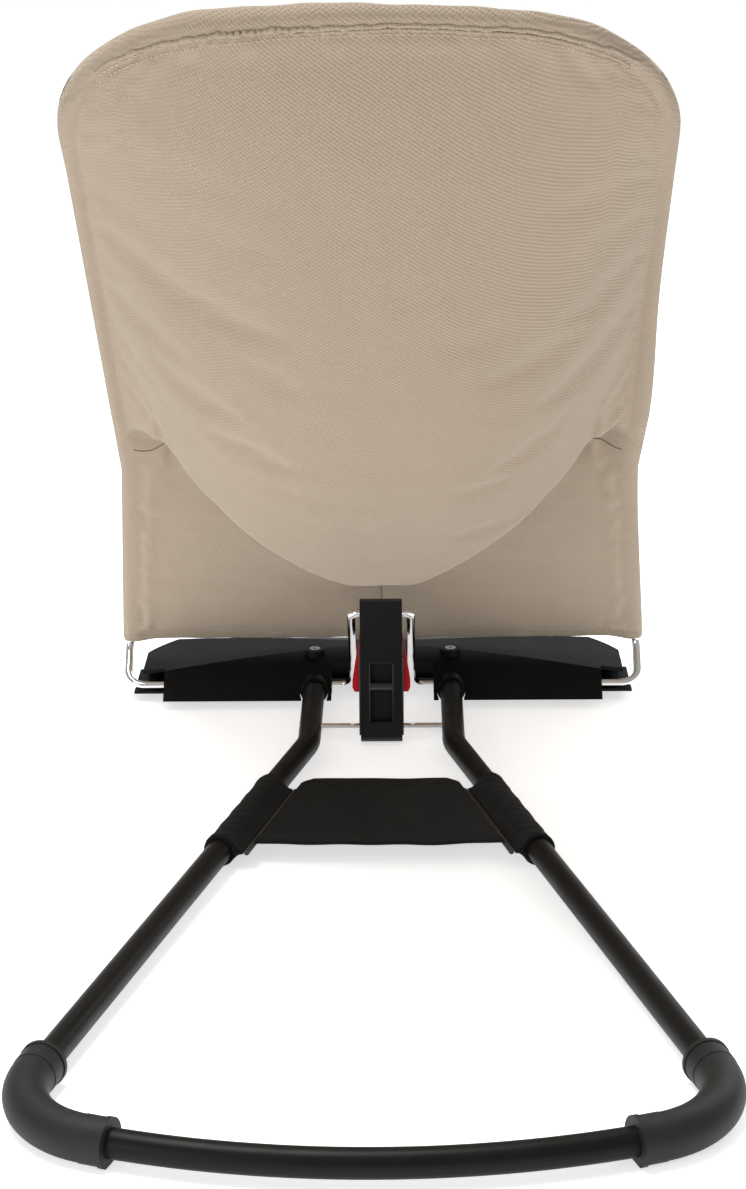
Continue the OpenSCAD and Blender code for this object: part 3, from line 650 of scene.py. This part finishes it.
def settle():
    """Moves of both layers when the cloth is blown up a little between its seams, from a coarse copy."""
    layers = Layers(*CLOTH_GRID)
    verts, faces, _, inner = layers.mesh()
    o = new_object("cloth_trial", verts, faces, mat_cover)
    back_hold, front_hold = held_share(layers)
    hold = np.r_[back_hold.ravel(), front_hold.ravel()[inner]]
    group = o.vertex_groups.new(name="held")
    for i, w in enumerate(hold):
        group.add([i], float(w), "REPLACE")
    cloth = o.modifiers.new("cloth", "CLOTH")
    cloth.settings.vertex_group_mass = "held"
    cloth.settings.quality = 6
    cloth.settings.mass = 0.25
    cloth.settings.tension_stiffness = 20
    cloth.settings.compression_stiffness = 20
    cloth.settings.bending_stiffness = 3.0
    cloth.settings.shrink_min = -0.006
    cloth.settings.use_pressure = True
    cloth.settings.uniform_pressure_force = 1.6
    cloth.settings.effector_weights.gravity = 0.25
    cloth.collision_settings.use_collision = False
    scene = bpy.context.scene
    for k in range(1, FRAMES + 1):
        scene.frame_set(k)
    ready = o.evaluated_get(bpy.context.evaluated_depsgraph_get())
    now = np.empty(len(verts) * 3)
    ready.data.vertices.foreach_get("co", now)
    move = now.reshape(-1, 3) - verts
    size = np.linalg.norm(move, axis=1)[:, None]
    move *= np.minimum(1, CAP / np.maximum(size, 1e-9))
    scene.frame_set(1)
    bpy.data.objects.remove(o)
    rows, cols = layers.edge.shape
    back = move[:rows * cols].reshape(rows, cols, 3)
    front = np.zeros((rows * cols, 3))
    front[inner] = move[rows * cols:]
    return back, front.reshape(rows, cols, 3)


def finer(values, rows, cols):
    """A grid of moves on a finer grid, rounded off between its points."""
    def along(a, n):
        m = len(a)
        q = np.linspace(0, m - 1, n)
        i = np.minimum(q.astype(int), m - 2)
        f = (q - i)[:, None, None]
        pad = np.concatenate([2 * a[:1] - a[1:2], a, 2 * a[-1:] - a[-2:-1]])
        p0, p1, p2, p3 = pad[i], pad[i + 1], pad[i + 2], pad[i + 3]
        return p1 + 0.5 * f * (p2 - p0 + f * (2 * p0 - 5 * p1 + 4 * p2 - p3 + f * (3 * (p1 - p2) + p3 - p0)))
    return along(along(values, rows).transpose(1, 0, 2), cols).transpose(1, 0, 2)


def make_cover():
    layers = Layers(*(((201, 261))))
    rows, cols = layers.edge.shape
    back, front = settle()
    free = (~layers.edge)[..., None] * smooth(0.0, 0.012, layers.d)[..., None]
    layers.back += finer(back, rows, cols) * free
    layers.front += finer(front, rows, cols) * free
    verts, faces, uv, _ = layers.mesh()
    surface = BVHTree.FromPolygons(verts.tolist(), faces)
    return new_object("sewn_cover", verts, faces, mat_cover, uvs=uv), surface


cover, cloth_tree = make_cover()
add(cover, "seat", True)
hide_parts("seat_cover")

# the fabric channel round the hoop wire, on the seat body but left out of the soft pieces
CHANNEL_R = 0.0040
channel_line = OUT[OUT[:, 1] >= HEM + 0.004]
channel_path = seat(channel_line[:, 0], channel_line[:, 1], RISER)
add(joined("hem_channel", [tube(channel_path, CHANNEL_R, 16)], mat_binding), "seat")


def on_cover(line, lift, way):
    """Points of a seat-plane line laid on the cover's back (way 1) or front (way -1)."""
    out = []
    for x, t in np.asarray(line, float):
        start = seat(x, t, RISER - way * 0.25)
        hit = cloth_tree.ray_cast(Vector(start), Vector(N_DIR * way), 0.5)[0]
        if hit is not None:
            out.append(np.array(hit) - way * lift * N_DIR)
    return np.array(out)


def on_back(line, lift=0.0):
    return on_cover(line, lift, 1)


def on_front(line, lift=0.0):
    return on_cover(line, lift, -1)


def rail(inset, t_low):
    """A line that follows the hoop at a distance inside it, above t_low."""
    p = OUT - NRM * np.broadcast_to(inset, (len(OUT),))[:, None]
    return resample(p[OUT[:, 1] > t_low], 0.0012)


def cord_line(name, points, radius, material, body, squashes=True, sides=8):
    return add(joined(name, [tube(points, radius, sides)], material), body, squashes)


# top seam: a ruffled ridge close to the silhouette, and a flatter second fold on one side
ends = smooth(0.100, 0.150, np.abs(OUT[:, 0]))
ridge = rail(0.0010 - 0.0045 * ends, 0.668)
x = ridge[:, 0]
ruffle = np.exp(-((x - 0.062) / 0.040) ** 2)
ridge[:, 1] += ruffle * 0.0007 * np.sin(x * 1750 + 2 * np.sin(x * 90)) + 0.0004 * np.sin(x * 430)
laid = on_back(ridge, 0.0004)
x = laid[:, 0]
ruffle = np.exp(-((x - 0.062) / 0.040) ** 2)
fade = smooth(0.150, 0.120, np.abs(x))
size = 0.0006 + fade * (0.0007 + 0.0005 * ruffle * (1 + np.sin(x * 1750)) + 0.00025 * np.sin(x * 690))
cord_line("top_seam_ridge", laid, size, mat_binding, "seat")
second = rail(0.0052 - 0.0040 * ends, 0.672)
laid = on_back(second[second[:, 0] < 0.045], 0.0001)
size = 0.0005 + 0.0006 * smooth(0.045, 0.02, laid[:, 0]) * (1 + 0.3 * np.sin(laid[:, 0] * 560))
cord_line("top_seam_fold", laid, size, mat_binding, "seat")
for inset, tag in ((0.0034, "upper"), (0.0078, "lower")):
    row = rail(inset - 0.0040 * ends, 0.668)
    sew(f"top_seam_stitch_{tag}", on_back(row, 0.0003), 0.0030, 0.0020, 0.00030)

# hem, centre seam, side seams and the pouch seam; the centre and side seams get thin dark cords in the
# seam_shadow colour, painted shadow along those seams
hem = np.stack([np.linspace(-0.183, 0.183, 200), np.full(200, HEM + 0.0125)], 1)
for lay, tag in ((on_back, "back"), (on_front, "front")):
    sew(f"hem_stitch_{tag}", lay(hem, 0.0002), 0.0034, 0.0023, 0.00032)
mid = np.stack([np.zeros(60), np.linspace(HEM + 0.002, START + 0.012, 60)], 1)
# a thin dark cord in the groove of the centre seam: painted shadow
cord_line("centre_seam_shadow", on_back(mid, 0.00005), 0.00042, mat_seam_shadow, "seat")
u = np.linspace(-0.86, 0.86, 240)
pouch = np.stack([u * (hoop_half(seam_t(u)) - 0.004), seam_t(u) + 0.002], 1)
cord_line("pouch_seam", on_back(pouch, 0.0002), 0.0008, mat_binding, "seat")
# thin dark cords along the side seams: painted shadow
for s, tag, bow in ((1, "left", -0.003), (-1, "right", 0.002)):
    k = np.linspace(0, 1, 40)
    line = np.stack([s * (0.160 - 0.024 * k), 0.284 + 0.010 * k * k + bow * np.sin(np.pi * k)], 1)
    cord_line(f"{tag}_side_seam_shadow", on_back(line, 0.0001), 0.0005, mat_seam_shadow, "seat")
for s, tag in ((1, "left"), (-1, "right")):
    t = np.linspace(0.13, 0.67, 300)
    for shift, row in ((0.0035, "outer"), (-0.0035, "inner")):
        line = np.stack([s * (gore(t) + shift), t], 1)
        sew(f"{tag}_gore_stitch_{row}", on_front(line, 0.0002), 0.0034, 0.0023, 0.00030)
border = rail(0.0235, 0.02)
sew("border_stitch", on_front(border, 0.0002), 0.0034, 0.0023, 0.00030)


# ------------------------------------------------------------------ harness flap and toggles
FLAP0, FLAP1 = 0.128, 0.342
FLAP_GAP = 0.0080        # underside of the flap above the middle of the cover
FLAP_ROUND = 0.028       # radius of its upper corners


def flap_half(t):
    """Half width of the flap: a narrow crotch, cut-outs for the legs and a wide upper part."""
    body = 0.046 + 0.060 * smooth(0.188, 0.262, t)
    over = np.clip(t - (FLAP1 - FLAP_ROUND), 0, FLAP_ROUND)
    return body - FLAP_ROUND + np.sqrt(FLAP_ROUND ** 2 - over ** 2)


def flap_inset(x, t):
    return np.maximum(np.minimum.reduce([flap_half(t) - np.abs(x), t - FLAP0, FLAP1 - t]), 0)


def flap_low(x, t):
    return RISER - bowl(x, t) + FLAP_GAP + 0.0012 * smooth(0.004, 0.016, flap_inset(x, t)) * -1


def flap_high(x, t):
    e = flap_inset(x, t)
    crown = 0.0024 + 0.0030 * smooth(0.0, 0.016, e)
    for row in (0.215, 0.257, 0.299):
        groove = np.exp(-((t - row - 0.006 * np.cos(x * 28)) / 0.0019) ** 2)
        crown = crown - 0.0018 * groove * smooth(0.006, 0.02, e)
    return RISER - bowl(x, t) + FLAP_GAP + crown + 0.0004 * waves(x, t, 8, 8, 0.04, 0.1) * smooth(0, 0.02, e)


def flap_points(line, lift):
    x, t = np.asarray(line).T
    return seat(x, t, flap_high(x, t) + lift)


rows, cols = ((141, 101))
t = np.linspace(FLAP0, FLAP1, rows)[:, None] * np.ones((1, cols))
x = np.linspace(1, -1, cols)[None, :] * flap_half(t)
low, high = seat(x, t, flap_low(x, t)), seat(x, t, flap_high(x, t))
flap = add(slab("harness_flap_pad", low, high, mat_cover, arc_uv(high)), "seat", True)
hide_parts("harness_flap")


def flap_edge(inset):
    """The flap's outline, a distance inside it, as one open line from the crotch round to the crotch."""
    t = np.r_[np.linspace(FLAP0 + inset, FLAP1 - FLAP_ROUND, 70),
              FLAP1 - FLAP_ROUND + FLAP_ROUND * np.sin(np.linspace(0.02, np.pi / 2, 30))]
    t = np.minimum(t, FLAP1 - inset)
    side = np.stack([flap_half(t) - inset, t], 1)
    top = np.stack([np.linspace(side[-1][0], 0, 24)[1:], np.full(23, side[-1][1])], 1)
    half = np.vstack([side, top])
    return np.vstack([half, (half * [-1, 1])[::-1][1:]])


edge = resample(flap_edge(0.0), 0.0015)
cord_line("flap_binding", flap_points(edge, -0.0012), 0.0021, mat_binding, "seat", sides=10)
sew("flap_stitch", flap_points(flap_edge(0.0055), 0.0002), 0.0030, 0.0020, 0.00030)

# the tab that sews the flap's lower end to the seat
k = np.linspace(0, 1, 24)[:, None] * np.ones((1, 25))
x = np.linspace(0.040, -0.040, 25)[None, :] * np.ones((24, 1))
t = 0.100 + 0.036 * k
rest = RISER + 0.0052 - bowl(x, t)
rise = rest * (1 - smooth(0.2, 1, k)) + (RISER - bowl(x, t) + FLAP_GAP - 0.0014) * smooth(0.2, 1, k)
TAB_HALF = 0.0012
tab = slab("crotch_tab", seat(x, t, rise - TAB_HALF), seat(x, t, rise + TAB_HALF), mat_cover,
           np.stack([x, t], -1))
add(tab, "seat", True)


def lathe(profile, centre, axis, name, material, sides=48):
    """A turned piece from (radius, height) points about an axis through centre."""
    axis = np.asarray(axis) / np.linalg.norm(axis)
    e1 = np.cross(axis, [0.0, 0.3, 1.0])
    e1 /= np.linalg.norm(e1)
    e2 = np.cross(axis, e1)
    w = np.linspace(0, 2 * math.pi, sides, endpoint=False)
    ring = np.cos(w)[:, None] * e1 + np.sin(w)[:, None] * e2
    verts = np.concatenate([centre + r * ring + h * axis for r, h in profile])
    faces = grid_faces(len(profile), sides, wrap=True)
    faces.append(tuple(range(sides)))
    faces.append(tuple(len(verts) - sides + k for k in range(sides)))
    return new_object(name, verts, faces, material)


for s, tag in ((1, "left"), (-1, "right")):
    lo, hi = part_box(f"{tag}_toggle")
    centre = (np.array(lo) + np.array(hi)) / 2
    lean = math.radians(32) * -s
    axis = np.array([math.sin(lean), 0, 0]) + math.cos(lean) * N_DIR
    profile = [(0.0012, -0.0020), (0.0070, -0.0020), (0.0086, -0.0014), (0.0090, -0.0003), (0.0090, 0.0008),
               (0.0085, 0.0018), (0.0076, 0.0020), (0.0067, 0.0016), (0.0058, 0.0004),
               (0.0030, 0.0001), (0.0012, 0.0001)]
    knob = lathe(profile, centre, axis, f"{tag}_toggle_button", mat_toggle)
    add(knob, "seat", True)
    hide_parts(f"{tag}_toggle")
    w = np.linspace(-2.4, 2.4, 40)
    tx, tt = 0.088, 0.305
    loop = np.stack([s * (tx - 0.0046 * np.cos(w)), tt + 0.0046 * np.sin(w)], 1)
    out = np.stack([s * np.linspace(0.128, 0.094, 14), np.full(14, tt)], 1)
    lower = out + [0, -0.0031]
    upper = out[::-1] + [0, 0.0031]
    line = resample(np.vstack([lower, loop, upper]), 0.0012)
    raised = flap_points(line, 0.0013)
    down = smooth(0.104, 0.112, np.abs(line[:, 0]))[:, None]
    fallen = seat(line[:, 0], line[:, 1], RISER + 0.0062 - bowl(line[:, 0], line[:, 1]))
    loop_line = raised * (1 - down) + fallen * down
    cord_line(f"{tag}_toggle_loop", loop_line, 0.0012, mat_elastic, "seat")

# ------------------------------------------------------------------ web between the legs
WEB_TOP = TUBE_Z + 0.0026


def leg_place(s, across, along, up):
    """Coordinates of a splayed leg (across it, along it, up) to the row frame."""
    across, along, up = np.broadcast_arrays(np.asarray(across, float), along, up)
    c, n = math.cos(LEG_TURN), math.sin(LEG_TURN)
    x = s * (LEG_X + across * c + along * n)
    y = HY + LEG_Y - across * n + along * c
    return np.stack([x, y, TUBE_Z + up], -1)


S0, S1 = (WEB_Y0 - LEG_Y) / math.cos(LEG_TURN), (WEB_Y1 - LEG_Y) / math.cos(LEG_TURN)
TONGUE = 0.0152          # reach of the sleeve's sewn tongue from the leg's centre
SLEEVE_OUT = TUBE_R + 0.0021
SLEEVE_IN = TUBE_R + 0.0003


def sleeve_section(count, along, side):
    """One ring of the sleeve: round the leg, drawn out into a flat tongue towards the panel."""
    w = np.linspace(0, 2 * math.pi, count, endpoint=False)
    near = np.minimum(w, 2 * math.pi - w)
    end = smooth(0.010, 0.0, along - S0) + smooth(0.010, 0.0, S1 - along)
    folds = 0.00022 * np.sin(along * 260 + 3 * w + side) + 0.00018 * np.sin(along * 610 - 5 * w)
    r = SLEEVE_OUT + folds + 0.0006 * end
    across, up = -r * np.cos(w), r * np.sin(w)
    pull = smooth(0.95, 0.0, near)
    across = across * (1 - pull) + pull * -(TONGUE - 0.006 * near ** 2)
    up = up * (1 - pull) ** 1.6 + np.sign(np.sin(w)) * 0.0011 * pull * (near > 0)
    return across, up


def make_sleeve(s, tag):
    count, rings = 72, 60
    along = np.linspace(S0, S1, rings)
    outer = [leg_place(s, a[0], v, a[1]) for v in along for a in [sleeve_section(count, v, s)]]
    w = np.linspace(0, 2 * math.pi, count, endpoint=False)
    inner = [leg_place(s, -SLEEVE_IN * np.cos(w), v, SLEEVE_IN * np.sin(w)) for v in along[::-1]]
    grid = np.array(outer + inner)
    n = len(grid)
    verts = grid.reshape(-1, 3)
    faces = grid_faces(n, count, wrap=True)
    last = (n - 1) * count
    faces += [(last + j, last + (j + 1) % count, (j + 1) % count, j) for j in range(count)]
    uv = np.stack(np.broadcast_arrays(w[None] * SLEEVE_OUT, np.r_[along, along[::-1]][:, None]), -1)
    o = add(new_object(f"{tag}_web_wrap", verts, faces, mat_web, uvs=uv.reshape(-1, 2)), "base")
    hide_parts(f"{tag}_web_sleeve")
    for v, end in ((S0 + 0.007, "front"), (S1 - 0.007, "rear")):
        across, up = sleeve_section(200, v, s)
        ring = leg_place(s, across * 1.015, v, up * 1.015)
        sew_web(f"{tag}_wrap_stitch_{end}", ring)
    for up, face in ((0.0013, "top"), (-0.0013, "bottom")):
        line = leg_place(s, -0.0128, np.linspace(S0 + 0.003, S1 - 0.003, 60), up)
        sew_web(f"{tag}_tongue_stitch_{face}", line)


def web_half(y):
    """Half width of the panel at y behind the hinge line."""
    full = LEG_X + (y - LEG_Y) * math.tan(LEG_TURN) - 0.0190 / math.cos(LEG_TURN)
    return full - 0.006 * smooth(WEB_Y0, WEB_Y0 - 0.009, y)


PANEL_Y0, PANEL_Y1 = WEB_Y0 - 0.009, WEB_Y1 - 0.007


def web_rows(k, u):
    """y of the panel at share k of its length: the rear edge bows a little, more in the middle."""
    return PANEL_Y0 + (PANEL_Y1 - PANEL_Y0 + 0.0030 * (1 - u * u)) * k


mat_web_thread = plastic("web_thread", (0.030, 0.030, 0.031), 0.6, grain=0.00008, gscale=4000.0, spec=0.3)
for s, tag in ((1, "left"), (-1, "right")):
    make_sleeve(s, tag)

rows, cols = 91, 121
u = np.linspace(1, -1, cols)[None, :] * np.ones((rows, 1))
k = np.linspace(0, 1, rows)[:, None] * np.ones((1, cols))
y = web_rows(k, u)
x = u * web_half(y)
sag = -0.0016 * (1 - u * u) * np.sin(np.pi * k) + 0.0004 * waves(x, y, 11, 8, 0.03, 0.10) * (1 - u ** 4)
roll = np.exp(-((k - 0.04) / 0.04) ** 2) + np.exp(-((k - 0.96) / 0.04) ** 2)
thick = 0.0007 + 0.0006 * roll
middle = np.stack([x, HY + y, WEB_TOP + sag], -1)
up = np.array([0, 0, 1.0])
web_lift = thick[..., None] * up
web = slab("web_cloth", middle - web_lift, middle + web_lift, mat_web, np.stack([x, y], -1))
add(web, "base")
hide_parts("web_panel")
for edge_k, tag in ((0.085, "front"), (0.915, "rear")):
    for way, face in ((1, "top"), (-1, "bottom")):
        i = int(round(edge_k * (rows - 1)))
        line = middle[i, 3:-3] + way * (thick[i, 3:-3, None] + 0.0002) * up
        sew_web(f"web_stitch_{tag}_{face}", line)

# ------------------------------------------------------------------ thin cords along the strut's edges, lighter and glossier than the strut: painted highlight
top_y, top_z = LOOP * math.cos(LOOP_PITCH) - BAR_Y, LOOP * math.sin(LOOP_PITCH) - (BAR_Z - HZ)
STRUT = math.atan2(top_z, top_y)


def strut(x, along, front):
    """Strut coordinates (across, along from the crossbar, towards its front) to the row frame."""
    c, n = math.cos(STRUT), math.sin(STRUT)
    x, along, front = np.broadcast_arrays(np.asarray(x, float), along, front)
    return np.stack([x, HY + BAR_Y + along * c - front * n, BAR_Z + along * n + front * c], -1)


for s, tag in ((1, "left"), (-1, "right")):
    line = strut(s * 0.0153, np.linspace(-0.004, 0.0655, 30), -0.0085)
    cord_line(f"{tag}_strut_edge_highlight", line, 0.00055, mat_edge_highlight, "strut", False)
    line = strut(s * 0.0083, np.linspace(0.006, 0.0480, 24), -0.0084)
    cord_line(f"{tag}_channel_edge_highlight", line, 0.00045, mat_edge_highlight, "strut", False)
line = strut(np.linspace(-0.0083, 0.0083, 10), 0.0484, -0.0084)
cord_line("channel_top_edge_highlight", line, 0.0005, mat_edge_highlight, "strut", False)

# ------------------------------------------------------------------ studio
world = bpy.data.worlds.new("studio")
bpy.context.scene.world = world
world.use_nodes = True
bg = world.node_tree.nodes["Background"]
bg.inputs[0].default_value = (1, 1, 1, 1)
bg.inputs[1].default_value = 0.42

floor_look = Mat("floor_white", (0.90, 0.90, 0.90), 0.9, spec=0.1)
floor_look.b.inputs["Emission Color"].default_value = (1, 1, 1, 1)
floor_look.b.inputs["Emission Strength"].default_value = 0.62
floor = new_object("floor", [(-40, -60, 0), (40, -60, 0), (40, 40, 0), (-40, 40, 0)], [(0, 1, 2, 3)],
                   floor_look.m)


def area(name, loc, target, size, power):
    lamp = bpy.data.lights.new(name, "AREA")
    lamp.shape, lamp.size, lamp.size_y, lamp.energy = "RECTANGLE", size[0], size[1], power
    o = bpy.data.objects.new(name, lamp)
    bpy.context.collection.objects.link(o)
    o.location = loc
    o.rotation_mode = "QUATERNION"
    o.rotation_quaternion = (Vector(target) - Vector(loc)).to_track_quat("-Z", "Y")


area("key", (1.7, 2.2, 0.9), (0, 0, 0.25), (1.0, 1.2), 14)
area("top", (0.4, -0.2, 2.3), (0, 0, 0.4), (1.4, 1.0), 52)
area("front", (-1.4, -1.8, 1.3), (0, 0, 0.3), (1.4, 1.2), 14)

for o in soft_pieces:
    tuple(seat(0.0, 0.3, RISER))
    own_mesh(o)
